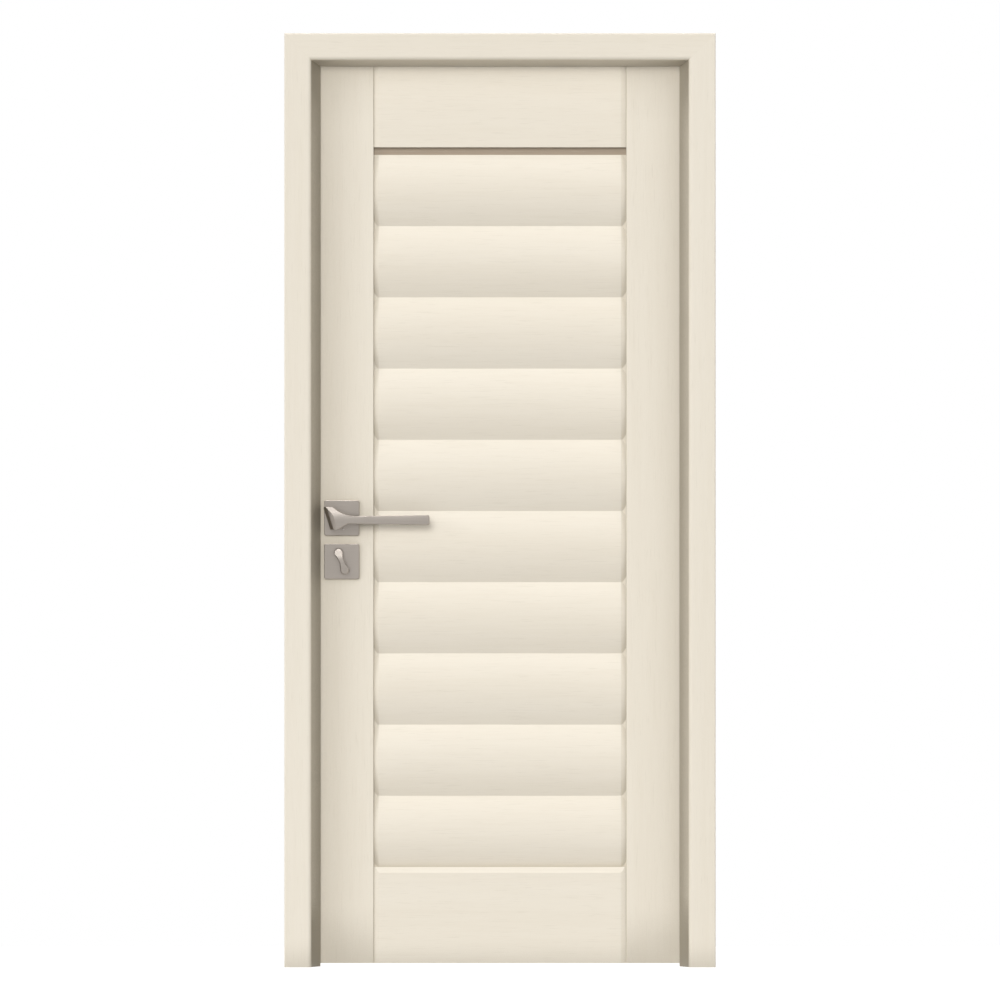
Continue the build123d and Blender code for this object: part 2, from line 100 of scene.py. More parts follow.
def rangeNode(tree, at, value, low, high, toLow=0.0, toHigh=1.0):
    node = addNode(tree, "ShaderNodeMapRange", at)
    join(tree, value, node.inputs["Value"])
    for label, number in (("From Min", low), ("From Max", high), ("To Min", toLow), ("To Max", toHigh)):
        node.inputs[label].default_value = number
    return node.outputs["Result"]


def blendColors(tree, at, factor, first, second):
    node = addNode(tree, "ShaderNodeMix", at, data_type="RGBA")
    for socket, value in ((node.inputs[0], factor), (node.inputs[6], first), (node.inputs[7], second)):
        if isinstance(value, (int, float, tuple)):
            socket.default_value = value
        else:
            join(tree, value, socket)
    return node.outputs[2]


def startMaterial(name, shader):
    # the finish's fixed values go straight on the shader's own sockets
    material = bpy.data.materials.new(name)
    material.use_nodes = True
    tree = material.node_tree
    principled = tree.nodes["Principled BSDF"]
    for label, value in shader.items():
        principled.inputs[label].default_value = value
    return material, tree, principled


# effects that several finishes share, each built once as a node group

def makeGrainGroup():
    # wood figure along one axis: broad bands, fine streaks and short open pores
    tree, start, end = startGroup("woodGrain", [
        ("Place", "Vector", None), ("Stretch", "Vector", (1.0, 1.0, 1.0)),
        ("Pale", "Color", (0.83, 0.77, 0.65, 1)), ("Deep", "Color", (0.7, 0.64, 0.52, 1)),
        ("Band Size", "Float", 9.0), ("Streak Size", "Float", 150.0), ("Pore Size", "Float", 420.0),
    ], [("Color", "Color"), ("Height", "Float")])
    run = addNode(tree, "ShaderNodeVectorMath", (-1150, 100), operation="MULTIPLY")
    join(tree, start.outputs["Place"], run.inputs[0])
    join(tree, start.outputs["Stretch"], run.inputs[1])
    wander = addNode(tree, "ShaderNodeTexNoise", (-950, 350))
    wander.inputs["Detail"].default_value = 3.0
    join(tree, run.outputs[0], wander.inputs["Vector"])
    join(tree, start.outputs["Band Size"], wander.inputs["Scale"])
    streaks = addNode(tree, "ShaderNodeTexNoise", (-950, 50))
    streaks.inputs["Detail"].default_value = 5.0
    streaks.inputs["Roughness"].default_value = 0.62
    join(tree, run.outputs[0], streaks.inputs["Vector"])
    join(tree, start.outputs["Streak Size"], streaks.inputs["Scale"])
    pores = addNode(tree, "ShaderNodeTexNoise", (-950, -250))
    pores.inputs["Detail"].default_value = 2.0
    join(tree, run.outputs[0], pores.inputs["Vector"])
    join(tree, start.outputs["Pore Size"], pores.inputs["Scale"])
    bands = rangeNode(tree, (-700, 350), wander.outputs["Fac"], 0.38, 0.66)
    fine = rangeNode(tree, (-700, 50), streaks.outputs["Fac"], 0.42, 0.72)
    hollow = rangeNode(tree, (-700, -250), pores.outputs["Fac"], 0.60, 0.70)
    half = mathNode(tree, "MULTIPLY", (-450, 350), bands, 0.55)
    mixed = mathNode(tree, "MULTIPLY_ADD", (-250, 250), fine, 0.45, half)
    tone = blendColors(tree, (0, 250), mixed, start.outputs["Pale"], start.outputs["Deep"])
    poreTone = mathNode(tree, "MULTIPLY", (-450, -250), hollow, 0.12)
    color = blendColors(tree, (250, 150), poreTone, tone, (0.52, 0.46, 0.36, 1))
    join(tree, color, end.inputs["Color"])
    rise = mathNode(tree, "MULTIPLY", (-250, -50), fine, 0.35)
    height = mathNode(tree, "SUBTRACT", (0, -100), rise, hollow)
    join(tree, height, end.inputs["Height"])
    return tree


def makeEdgeGroup():
    # how much of a sharp edge is near: the rounded normal leaves the flat one there
    tree, start, end = startGroup("edgeWear", [
        ("Radius", "Float", 0.0015), ("Patchiness", "Float", 40.0), ("Amount", "Float", 1.0),
    ], [("Wear", "Float")])
    rounded = addNode(tree, "ShaderNodeBevel", (-1100, 200), samples=4)
    join(tree, start.outputs["Radius"], rounded.inputs["Radius"])
    flat = addNode(tree, "ShaderNodeNewGeometry", (-1100, -50))
    facing = addNode(tree, "ShaderNodeVectorMath", (-850, 150), operation="DOT_PRODUCT")
    join(tree, rounded.outputs["Normal"], facing.inputs[0])
    join(tree, flat.outputs["Normal"], facing.inputs[1])
    near = rangeNode(tree, (-600, 150), facing.outputs["Value"], 0.995, 0.80)
    place = addNode(tree, "ShaderNodeTexCoord", (-1100, -350))
    patches = addNode(tree, "ShaderNodeTexNoise", (-850, -300))
    patches.inputs["Detail"].default_value = 4.0
    join(tree, place.outputs["Object"], patches.inputs["Vector"])
    join(tree, start.outputs["Patchiness"], patches.inputs["Scale"])
    broken = rangeNode(tree, (-600, -300), patches.outputs["Fac"], 0.40, 0.62, 0.25, 1.0)
    worn = mathNode(tree, "MULTIPLY", (-350, 0), near, broken)
    wear = mathNode(tree, "MULTIPLY", (-150, 0), worn, start.outputs["Amount"])
    join(tree, wear, end.inputs["Wear"])
    return tree


def makeDustGroup():
    # dust lies on what faces up, in loose patches
    tree, start, end = startGroup("restingDust", [
        ("Base", "Color", (0.8, 0.8, 0.8, 1)), ("Dust Color", "Color", (0.62, 0.59, 0.54, 1)),
        ("Amount", "Float", 0.3),
    ], [("Color", "Color"), ("Dust", "Float")])
    flat = addNode(tree, "ShaderNodeNewGeometry", (-1100, 200))
    parts = addNode(tree, "ShaderNodeSeparateXYZ", (-900, 200))
    join(tree, flat.outputs["Normal"], parts.inputs[0])
    upward = rangeNode(tree, (-700, 200), parts.outputs["Z"], 0.75, 0.98)
    place = addNode(tree, "ShaderNodeTexCoord", (-1100, -150))
    patches = addNode(tree, "ShaderNodeTexNoise", (-900, -150))
    patches.inputs["Scale"].default_value = 28.0
    patches.inputs["Detail"].default_value = 6.0
    join(tree, place.outputs["Object"], patches.inputs["Vector"])
    loose = rangeNode(tree, (-700, -150), patches.outputs["Fac"], 0.35, 0.7, 0.3, 1.0)
    lying = mathNode(tree, "MULTIPLY", (-450, 50), upward, loose)
    dust = mathNode(tree, "MULTIPLY", (-250, 50), lying, start.outputs["Amount"])
    color = blendColors(tree, (0, 150), dust, start.outputs["Base"], start.outputs["Dust Color"])
    join(tree, color, end.inputs["Color"])
    join(tree, dust, end.inputs["Dust"])
    return tree


def makeHandlingGroup():
    # faint cloudy marks where a finish has been wiped and touched
    tree, start, end = startGroup("handlingMarks", [
        ("Size", "Float", 9.0), ("Low", "Float", 0.3), ("High", "Float", 0.45),
    ], [("Roughness", "Float"), ("Marks", "Float")])
    place = addNode(tree, "ShaderNodeTexCoord", (-1100, 100))
    clouds = addNode(tree, "ShaderNodeTexNoise", (-850, 100))
    clouds.inputs["Detail"].default_value = 7.0
    clouds.inputs["Distortion"].default_value = 0.6
    join(tree, place.outputs["Object"], clouds.inputs["Vector"])
    join(tree, start.outputs["Size"], clouds.inputs["Scale"])
    marks = rangeNode(tree, (-600, 100), clouds.outputs["Fac"], 0.35, 0.65)
    spread = mathNode(tree, "SUBTRACT", (-600, -150), start.outputs["High"], start.outputs["Low"])
    rise = mathNode(tree, "MULTIPLY", (-350, 0), marks, spread)
    rough = mathNode(tree, "ADD", (-150, 0), rise, start.outputs["Low"])
    join(tree, rough, end.inputs["Roughness"])
    join(tree, marks, end.inputs["Marks"])
    return tree


def makePaintedShadeGroup():
    # painted shade: the colour is darkened towards a grey-brown in corners and recesses, by ambient
    # occlusion within Reach; in front of the plane Behind it lies with Amount, past that plane with Amount
    # Behind
    tree, start, end = startGroup("paintedCornerShade", [
        ("Base", "Color", (0.8, 0.8, 0.8, 1)), ("Shade Color", "Color", (0.3, 0.26, 0.2, 1)),
        ("Reach", "Float", 0.05), ("Sheltered", "Float", 0.35), ("Amount", "Float", 0.3),
        ("Behind", "Float", 1.0), ("Amount Behind", "Float", 0.3),
    ], [("Color", "Color")])
    shelter = addNode(tree, "ShaderNodeAmbientOcclusion", (-1100, 100), samples=8)
    join(tree, start.outputs["Reach"], shelter.inputs["Distance"])
    deep = rangeNode(tree, (-850, 100), shelter.outputs["AO"], 0.95, 0.35)
    join(tree, start.outputs["Sheltered"], tree.nodes[-1].inputs["From Max"])
    place = addNode(tree, "ShaderNodeTexCoord", (-1100, -200))
    spot = addNode(tree, "ShaderNodeSeparateXYZ", (-900, -200))
    join(tree, place.outputs["Object"], spot.inputs[0])
    past = mathNode(tree, "GREATER_THAN", (-700, -200), spot.outputs["Y"], start.outputs["Behind"])
    step = mathNode(tree, "SUBTRACT", (-700, -400), start.outputs["Amount Behind"], start.outputs["Amount"])
    local = mathNode(tree, "MULTIPLY_ADD", (-500, -250), past, step, start.outputs["Amount"])
    amount = mathNode(tree, "MULTIPLY", (-350, 0), deep, local)
    color = blendColors(tree, (-150, 150), amount, start.outputs["Base"], start.outputs["Shade Color"])
    join(tree, color, end.inputs["Color"])
    return tree


def makeEndGroup():
    # the ends of an upright, top and bottom
    tree, start, end = startGroup("uprightEnds", [("Steepness", "Float", 0.97)], [("Mask", "Float")])
    flat = addNode(tree, "ShaderNodeNewGeometry", (-1100, 0))
    parts = addNode(tree, "ShaderNodeSeparateXYZ", (-900, 0))
    join(tree, flat.outputs["Normal"], parts.inputs[0])
    steep = mathNode(tree, "ABSOLUTE", (-700, 0), parts.outputs["Z"])
    cut = mathNode(tree, "GREATER_THAN", (-500, 0), steep, start.outputs["Steepness"])
    join(tree, cut, end.inputs["Mask"])
    return tree


def makeUndersideGroup():
    # the sawn lower edge of the leaf, found by height and by facing down
    tree, start, end = startGroup("sawnUnderside", [
        ("Below", "Float", 0.02), ("Steepness", "Float", -0.97),
    ], [("Mask", "Float")])
    flat = addNode(tree, "ShaderNodeNewGeometry", (-1100, 0))
    parts = addNode(tree, "ShaderNodeSeparateXYZ", (-900, 0))
    join(tree, flat.outputs["Normal"], parts.inputs[0])
    place = addNode(tree, "ShaderNodeTexCoord", (-1100, -300))
    spot = addNode(tree, "ShaderNodeSeparateXYZ", (-900, -300))
    join(tree, place.outputs["Object"], spot.inputs[0])
    down = mathNode(tree, "LESS_THAN", (-700, 0), parts.outputs["Z"], start.outputs["Steepness"])
    low = mathNode(tree, "LESS_THAN", (-700, -300), spot.outputs["Z"], start.outputs["Below"])
    cut = mathNode(tree, "MULTIPLY", (-500, -100), down, low)
    join(tree, cut, end.inputs["Mask"])
    return tree


def makeGrooveShadeGroup():
    # where the tongue shows in the groove under the top rail, which gets a painted shade
    tree, start, end = startGroup("grooveShadeMask", [
        ("Bottom", "Float", 0.0), ("Top", "Float", 0.0), ("Middle", "Float", 0.0),
        ("Half Thickness", "Float", 0.004),
    ], [("Mask", "Float")])
    place = addNode(tree, "ShaderNodeTexCoord", (-1100, 0))
    spot = addNode(tree, "ShaderNodeSeparateXYZ", (-900, 0))
    join(tree, place.outputs["Object"], spot.inputs[0])
    over = mathNode(tree, "GREATER_THAN", (-700, 100), spot.outputs["Z"], start.outputs["Bottom"])
    under = mathNode(tree, "LESS_THAN", (-700, -50), spot.outputs["Z"], start.outputs["Top"])
    within = mathNode(tree, "MULTIPLY", (-500, 50), over, under)
    offMiddle = mathNode(tree, "SUBTRACT", (-700, -250), spot.outputs["Y"], start.outputs["Middle"])
    away = mathNode(tree, "ABSOLUTE", (-500, -250), offMiddle)
    thin = mathNode(tree, "LESS_THAN", (-300, -250), away, start.outputs["Half Thickness"])
    inside = mathNode(tree, "MULTIPLY", (-100, 0), within, thin)
    join(tree, inside, end.inputs["Mask"])
    return tree


def makeBrushGroup():
    # fine lines left by brushing the metal
    tree, start, end = startGroup("brushLines", [
        ("Stretch", "Vector", (1.0, 1.0, 1.0)), ("Fineness", "Float", 900.0),
    ], [("Lines", "Float")])
    place = addNode(tree, "ShaderNodeTexCoord", (-1300, 0))
    run = addNode(tree, "ShaderNodeVectorMath", (-1100, 0), operation="MULTIPLY")
    join(tree, place.outputs["Object"], run.inputs[0])
    join(tree, start.outputs["Stretch"], run.inputs[1])
    brush = addNode(tree, "ShaderNodeTexNoise", (-900, 0))
    brush.inputs["Detail"].default_value = 3.0
    join(tree, run.outputs[0], brush.inputs["Vector"])
    join(tree, start.outputs["Fineness"], brush.inputs["Scale"])
    lines = rangeNode(tree, (-700, 0), brush.outputs["Fac"], 0.3, 0.7)
    join(tree, lines, end.inputs["Lines"])
    return tree


woodGrain = makeGrainGroup()
paintedCornerShade = makePaintedShadeGroup()
edgeWear = makeEdgeGroup()
restingDust = makeDustGroup()
handlingMarks = makeHandlingGroup()
uprightEnds = makeEndGroup()
sawnUnderside = makeUndersideGroup()
grooveShadeMask = makeGrooveShadeGroup()
brushLines = makeBrushGroup()
print("shared effects made")


# wood wrapped in a pale cream foil with a faint printed grain
foil = {
    "pale": (0.835, 0.774, 0.667, 1),
    "deep": (0.800, 0.734, 0.621, 1),
    "worn": (0.68, 0.62, 0.52, 1),
    "dust": (0.70, 0.66, 0.59, 1),
    # painted shade: the grey-brown that corners and recesses are darkened towards
    "paintedShade": (0.36, 0.32, 0.25, 1),
    "tongue": (0.38, 0.305, 0.235, 1),    # painted shade: a dark brown laid on the tongue in the groove under the top rail, for the groove's shadow
    "tongueDeep": (0.33, 0.26, 0.198, 1),
    "grooveBottom": 1.8102,
    "grooveTop": 1.8268,
    "core": (0.60, 0.44, 0.26, 1),
    "coreDeep": (0.43, 0.29, 0.16, 1),
    "along": 0.045,      # how far the figure is drawn out along the grain
    "bump": 0.00012,
    "coreRings": 55.0,   # how close the rings of the core lie
    "wear": {"Radius": 0.0012, "Patchiness": 18.0, "Amount": 0.4},
    "dustAmount": 0.35,
    "dustDulls": 0.35,
    "marks": {"Size": 3.2, "Low": 0.44, "High": 0.56},
}
leafMiddle = (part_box("top_rail")[0].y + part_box("top_rail")[1].y) / 2
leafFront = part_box("lock_stile")[0].y
# how the painted shade lies: most of it is on the splays in front of the closed leaf,
# and some on the strips of the stiles beside them
paintedShadeOn = {
    "leaf": {"Reach": 0.07, "Sheltered": 0.35, "Amount": 0.50},
    "stiles": {"Reach": 0.14, "Sheltered": 0.55, "Amount": 0.50},
    "jambs": {"Reach": 0.16, "Sheltered": 0.80, "Amount": 1.00, "Behind": leafFront, "Amount Behind": 0.22},
    "head": {"Reach": 0.13, "Sheltered": 0.60, "Amount": 0.65, "Behind": leafFront, "Amount Behind": 0.22},
}


def makeFoil(name, upright, shadeValues):
    material, tree, shader = startMaterial(name, {"Specular IOR Level": 0.35, "Metallic": 0.0})
    stretch = (1.0, 1.0, foil["along"]) if upright else (foil["along"], 1.0, 1.0)
    place = addNode(tree, "ShaderNodeTexCoord", (-1500, 200))
    grain = placeGroup(tree, woodGrain, (-1200, 250), Stretch=stretch, Pale=foil["pale"], Deep=foil["deep"])
    join(tree, place.outputs["Object"], grain.inputs["Place"])

    # where a cut end shows, the glued pine core is bare
    core = placeGroup(tree, woodGrain, (-1200, -150), Pale=foil["core"], Deep=foil["coreDeep"])
    core.inputs["Band Size"].default_value = foil["coreRings"]
    join(tree, place.outputs["Object"], core.inputs["Place"])
    cut = placeGroup(tree, uprightEnds if upright else sawnUnderside, (-1100, -450))
    face = blendColors(tree, (-900, 150), cut.outputs["Mask"], grain.outputs["Color"],
                       core.outputs["Color"])
    # painted shade: the tongue in the groove under the top rail is darkened to stand for the groove's
    # shadow
    if not upright:
        grooveShadeTone = placeGroup(tree, woodGrain, (-1200, -700), Stretch=stretch, Pale=foil["tongue"],
                            Deep=foil["tongueDeep"])
        join(tree, place.outputs["Object"], grooveShadeTone.inputs["Place"])
        tongue = placeGroup(tree, grooveShadeMask, (-1000, -900), Bottom=foil["grooveBottom"],
                            Top=foil["grooveTop"], Middle=leafMiddle)
        face = blendColors(tree, (-750, 350), tongue.outputs["Mask"], face, grooveShadeTone.outputs["Color"])

    wear = placeGroup(tree, edgeWear, (-900, -150), **foil["wear"])
    worn = blendColors(tree, (-600, 150), wear.outputs["Wear"], face, foil["worn"])
    # painted shade: darkened in corners and recesses by ambient occlusion
    paintedShade = placeGroup(tree, paintedCornerShade, (-400, 200), **shadeValues)
    paintedShade.inputs["Shade Color"].default_value = foil["paintedShade"]
    join(tree, worn, paintedShade.inputs["Base"])
    dust = placeGroup(tree, restingDust, (-200, 200), Amount=foil["dustAmount"])
    dust.inputs["Dust Color"].default_value = foil["dust"]
    join(tree, paintedShade.outputs["Color"], dust.inputs["Base"])
    join(tree, dust.outputs["Color"], shader.inputs["Base Color"])

    sheen = placeGroup(tree, handlingMarks, (-650, -150), **foil["marks"])
    dull = mathNode(tree, "MULTIPLY_ADD", (-400, -150), dust.outputs["Dust"], foil["dustDulls"],
                    sheen.outputs["Roughness"])
    join(tree, dull, shader.inputs["Roughness"])

    relief = addNode(tree, "ShaderNodeBump", (-250, -350))
    relief.inputs["Strength"].default_value = 0.5
    relief.inputs["Distance"].default_value = foil["bump"]
    join(tree, grain.outputs["Height"], relief.inputs["Height"])
    join(tree, relief.outputs["Normal"], shader.inputs["Normal"])
    return material


# satin nickel of the furniture, and the paler steel of the lock, hinges and screws
nickel = {
    "base": (0.368, 0.331, 0.297, 1),
    "low": (0.342, 0.308, 0.276, 1),      # in the brushed lines
    "bare": (0.56, 0.51, 0.46, 1),
    "dust": (0.42, 0.40, 0.37, 1),
    "brush": {"Stretch": (0.02, 1.0, 1.0), "Fineness": 900.0},
    "wear": {"Radius": 0.0009, "Patchiness": 60.0, "Amount": 0.5},
    "marks": {"Size": 22.0, "Low": 0.30, "High": 0.42},
    "dustAmount": 0.2,
    "bump": 0.00004,
}
steel = {
    "base": (0.53, 0.515, 0.49, 1),
    "low": (0.493, 0.479, 0.456, 1),
    "bare": (0.68, 0.66, 0.63, 1),
    "dust": (0.45, 0.43, 0.4, 1),
    "brush": {"Stretch": (1.0, 1.0, 0.015), "Fineness": 700.0},
    "wear": {"Radius": 0.0009, "Patchiness": 60.0, "Amount": 0.7},
    "marks": {"Size": 22.0, "Low": 0.26, "High": 0.40},
    "dustAmount": 0.2,
    "bump": 0.00004,
}


def makeMetal(name, finish):
    material, tree, shader = startMaterial(name, {"Metallic": 1.0})
    brush = placeGroup(tree, brushLines, (-900, 0), **finish["brush"])
    wear = placeGroup(tree, edgeWear, (-900, 300), **finish["wear"])
    brushed = blendColors(tree, (-500, 150), brush.outputs["Lines"], finish["base"], finish["low"])
    rubbed = blendColors(tree, (-300, 200), wear.outputs["Wear"], brushed, finish["bare"])
    dust = placeGroup(tree, restingDust, (-100, 200), Amount=finish["dustAmount"])
    dust.inputs["Dust Color"].default_value = finish["dust"]
    join(tree, rubbed, dust.inputs["Base"])
    join(tree, dust.outputs["Color"], shader.inputs["Base Color"])

    marks = placeGroup(tree, handlingMarks, (-700, -300), **finish["marks"])
    rough = mathNode(tree, "MULTIPLY_ADD", (-400, -250), brush.outputs["Lines"], 0.05,
                     marks.outputs["Roughness"])
    join(tree, rough, shader.inputs["Roughness"])
    relief = addNode(tree, "ShaderNodeBump", (-200, -350))
    relief.inputs["Strength"].default_value = 0.25
    relief.inputs["Distance"].default_value = finish["bump"]
    join(tree, brush.outputs["Lines"], relief.inputs["Height"])
    join(tree, relief.outputs["Normal"], shader.inputs["Normal"])
    return material


seal = {
    "base": (0.30, 0.255, 0.195, 1),
    "bloom": (0.336, 0.286, 0.218, 1),    # the greyish film that old rubber gets
    "dust": (0.5, 0.47, 0.41, 1),
    "marks": {"Size": 35.0, "Low": 0.62, "High": 0.78},
    "dustAmount": 0.4,
    "gritSize": 1800.0,
    "bump": 0.00005,
}


def makeRubber(name):
    material, tree, shader = startMaterial(name, {"Specular IOR Level": 0.3})
    marks = placeGroup(tree, handlingMarks, (-700, -200), **seal["marks"])
    join(tree, marks.outputs["Roughness"], shader.inputs["Roughness"])
    bloom = blendColors(tree, (-450, 200), marks.outputs["Marks"], seal["base"], seal["bloom"])
    dust = placeGroup(tree, restingDust, (-200, 200), Amount=seal["dustAmount"])
    dust.inputs["Dust Color"].default_value = seal["dust"]
    join(tree, bloom, dust.inputs["Base"])
    join(tree, dust.outputs["Color"], shader.inputs["Base Color"])
    grit = addNode(tree, "ShaderNodeTexNoise", (-700, -450))
    grit.inputs["Scale"].default_value = seal["gritSize"]
    relief = addNode(tree, "ShaderNodeBump", (-300, -400))
    relief.inputs["Strength"].default_value = 0.3
    relief.inputs["Distance"].default_value = seal["bump"]
    place = addNode(tree, "ShaderNodeTexCoord", (-900, -450))
    join(tree, place.outputs["Object"], grit.inputs["Vector"])
    join(tree, grit.outputs["Fac"], relief.inputs["Height"])
    join(tree, relief.outputs["Normal"], shader.inputs["Normal"])
    return material


finishes = {
    "veneer_upright": makeFoil("foilUpright", True, paintedShadeOn["leaf"]),
    "veneer_level": makeFoil("foilLevel", False, paintedShadeOn["leaf"]),
    "satin_nickel": makeMetal("satinNickel", nickel),
    "lock_steel": makeMetal("lockSteel", steel),
    "seal_rubber": makeRubber("sealRubber"),
}
# copies of the foil that differ only in how much painted shade they carry: the stiles, the jamb splays and
# the head
stileFoil = makeFoil("foilStiles", True, paintedShadeOn["stiles"])
jambFoil = makeFoil("foilJambs", True, paintedShadeOn["jambs"])
headFoil = makeFoil("foilHead", False, paintedShadeOn["head"])
ownFinish = {"hinge_stile": stileFoil, "lock_stile": stileFoil,
             "hinge_jamb": jambFoil, "lock_jamb": jambFoil, "head_jamb": headFoil}
slotOf = {row["node"]: row["material_slot"] for row in frame["record"]["subparts"]}
for name, node in nodes.items():
    for slot in node.material_slots:
        slot.material = ownFinish.get(name) or finishes[slotOf[name]]
print("finishes on all nodes")


# cross-headed screws and the socket screws of the levers
screw = {
    "head": 0.0042,       # radius of the head
    "rise": 0.0007,       # how far its rim stands over the plate
    "dome": 0.0004,
    "slotHalf": 0.0006,
    "slotLong": 0.0024,
    "slotDeep": 0.0007,
    "sink": 0.0004,
    "steps": 32,
}


def makeScrewMesh(name):
    # an oval head with a cross recess, axis along +Z, its foot at the origin
    bm = bmesh.new()
    steps = screw["steps"]
    radius, top, dome = screw["head"], screw["rise"], screw["dome"]
    floorZ = top + dome - screw["slotDeep"]
    # the cross outline, from its right arm round
    a, b = screw["slotHalf"], screw["slotLong"]
    cross = [(b, -a), (b, a), (a, a), (a, b), (-a, b), (-a, a),
             (-b, a), (-b, -a), (-a, -a), (-a, -b), (a, -b), (a, -a)]
    rimRings = []
    for share, level in ((1.0, -screw["sink"]), (1.0, top * 0.45), (0.96, top), (0.80, top + dome * 0.55)):
        ring = []
        for step in range(steps):
            turn = 2 * math.pi * (step + 0.5) / steps
            across = radius * share
            ring.append(bm.verts.new((across * math.cos(turn), across * math.sin(turn), level)))
        rimRings.append(ring)
    for lower, upper in zip(rimRings, rimRings[1:]):
        for step in range(steps):
            after = (step + 1) % steps
            bm.faces.new((lower[step], lower[after], upper[after], upper[step]))
    mouth = [bm.verts.new((x, y, top + dome)) for x, y in cross]
    shelf = [bm.verts.new((x * 0.8, y * 0.8, floorZ)) for x, y in cross]
    last = rimRings[-1]
    outerEdges = [bm.edges.get((last[step], last[(step + 1) % steps])) for step in range(steps)]
    innerEdges = []
    for step in range(len(cross)):
        after = (step + 1) % len(cross)
        innerEdges.append(bm.edges.new((mouth[step], mouth[after])))
        bm.faces.new((mouth[step], mouth[after], shelf[after], shelf[step]))
    bm.faces.new(list(reversed(shelf)))
    bmesh.ops.bridge_loops(bm, edges=outerEdges + innerEdges)
    bmesh.ops.recalc_face_normals(bm, faces=bm.faces)
    mesh = bpy.data.meshes.new(name)
    bm.to_mesh(mesh)
    bm.free()
    for polygon in mesh.polygons:
        polygon.use_smooth = True
    mesh.materials.append(finishes["lock_steel"])
    return mesh


socket = {"radius": 0.0026, "rise": 0.0003, "hole": 0.0013, "deep": 0.0012, "steps": 24}


def makeSocketMesh(name):
    # a flat-ended set screw with a six-sided socket, axis along +Z
    bm = bmesh.new()
    steps = socket["steps"]
    rings = []
    for radius, level in ((socket["radius"], -0.0008), (socket["radius"], socket["rise"] * 0.4),
                          (socket["radius"] * 0.9, socket["rise"])):
        ring = []
        for step in range(steps):
            turn = 2 * math.pi * step / steps
            ring.append(bm.verts.new((radius * math.cos(turn), radius * math.sin(turn), level)))
        rings.append(ring)
    for lower, upper in zip(rings, rings[1:]):
        for step in range(steps):
            after = (step + 1) % steps
            bm.faces.new((lower[step], lower[after], upper[after], upper[step]))
    mouth, shelf = [], []
    for corner in range(6):
        turn = math.radians(60 * corner)
        x, y = socket["hole"] * math.cos(turn), socket["hole"] * math.sin(turn)
        mouth.append(bm.verts.new((x, y, socket["rise"])))
        shelf.append(bm.verts.new((x, y, socket["rise"] - 0.0002)))
    rim = [bm.edges.get((rings[-1][step], rings[-1][(step + 1) % steps])) for step in range(steps)]
    inner = []
    for corner in range(6):
        after = (corner + 1) % 6
        inner.append(bm.edges.new((mouth[corner], mouth[after])))
        bm.faces.new((mouth[corner], mouth[after], shelf[after], shelf[corner]))
    bm.faces.new(list(reversed(shelf)))
    bmesh.ops.bridge_loops(bm, edges=rim + inner)
    bmesh.ops.recalc_face_normals(bm, faces=bm.faces)
    mesh = bpy.data.meshes.new(name)
    bm.to_mesh(mesh)
    bm.free()
    mesh.materials.append(finishes["lock_steel"])
    return mesh


crossScrew = makeScrewMesh("crossScrew")
socketScrew = makeSocketMesh("socketScrew")


def setScrew(name, at, outward, turnDegrees, body, mesh):
    # each screw stops at its own angle
    piece = bpy.data.objects.new(name, mesh)
    bpy.context.scene.collection.objects.link(piece)
    spin = Matrix.Rotation(math.radians(turnDegrees), 4, "Z")
    facing = Vector(outward).to_track_quat("Z", "Y").to_matrix().to_4x4()
    piece.matrix_world = Matrix.Translation(at) @ facing @ spin
    modifier = piece.modifiers.new("crispEdges", "EDGE_SPLIT")
    modifier.split_angle = math.radians(38)
    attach(piece, body)
    return piece


# the camera stands far off, as in the photo
camera = {
    "at": (-0.450, -30.062, 1.040),
    "lens": 485.3,
    "sensor": 36.0,
}
cameraData = bpy.data.cameras.new("frontCamera")
cameraData.lens = camera["lens"]
cameraData.sensor_width = camera["sensor"]
cameraData.clip_end = 100.0
cameraObject = bpy.data.objects.new("frontCamera", cameraData)
cameraObject.location = camera["at"]
cameraObject.rotation_euler = (math.radians(90), 0, 0)
bpy.context.scene.collection.objects.link(cameraObject)
bpy.context.scene.camera = cameraObject
print("camera set")


# where each lamp's light comes from, in degrees left of the door and above level;
# the front lamp would whiten every flat of metal, so only matt surfaces get it,
# and the small spark lamp puts the highlights on rounded metal and nothing else
lamps = {
    "upperLamp": {"left": 25, "up": 74, "share": 0.475, "spread": 12,
                  "shadow": False, "matt": True, "shine": True},
    "frontLamp": {"left": 6, "up": 12, "share": 0.56, "spread": 24,
                  "shadow": True, "matt": True, "shine": False},
    "leftLamp": {"left": 52, "up": 12, "share": 0.13, "spread": 24,
                 "shadow": True, "matt": True, "shine": True},
    "rightLamp": {"left": -50, "up": 8, "share": 0.07, "spread": 40,
                  "shadow": True, "matt": True, "shine": True},
    "sparkLamp": {"left": 16, "up": 34, "share": 0.25, "spread": 14,
                  "shadow": True, "matt": False, "shine": True},
    "rearLamp": {"left": 165, "up": 16, "share": 0.56, "spread": 30,
                 "shadow": True, "matt": True, "shine": False},
    "rearLeft": {"left": 110, "up": 16, "share": 0.30, "spread": 30,
                 "shadow": True, "matt": True, "shine": True},
    "rearRight": {"left": -110, "up": 16, "share": 0.30, "spread": 30,
                  "shadow": True, "matt": True, "shine": True},
}
for name, lamp in lamps.items():
    data = bpy.data.lights.new(name, "SUN")
    data.energy = math.pi * lamp["share"]
    data.angle = math.radians(lamp["spread"])
    data.use_shadow = lamp["shadow"]
    left, up = math.radians(lamp["left"]), math.radians(lamp["up"])
    toward = Vector((math.sin(left) * math.cos(up), math.cos(left) * math.cos(up), -math.sin(up)))
    thing = bpy.data.objects.new(name, data)
    thing.rotation_euler = toward.to_track_quat("-Z", "Y").to_euler()
    thing.location = Vector((-0.45, 0, 1)) - toward * 4
    thing.visible_diffuse = lamp["matt"]
    thing.visible_glossy = lamp["shine"]
    bpy.context.scene.collection.objects.link(thing)

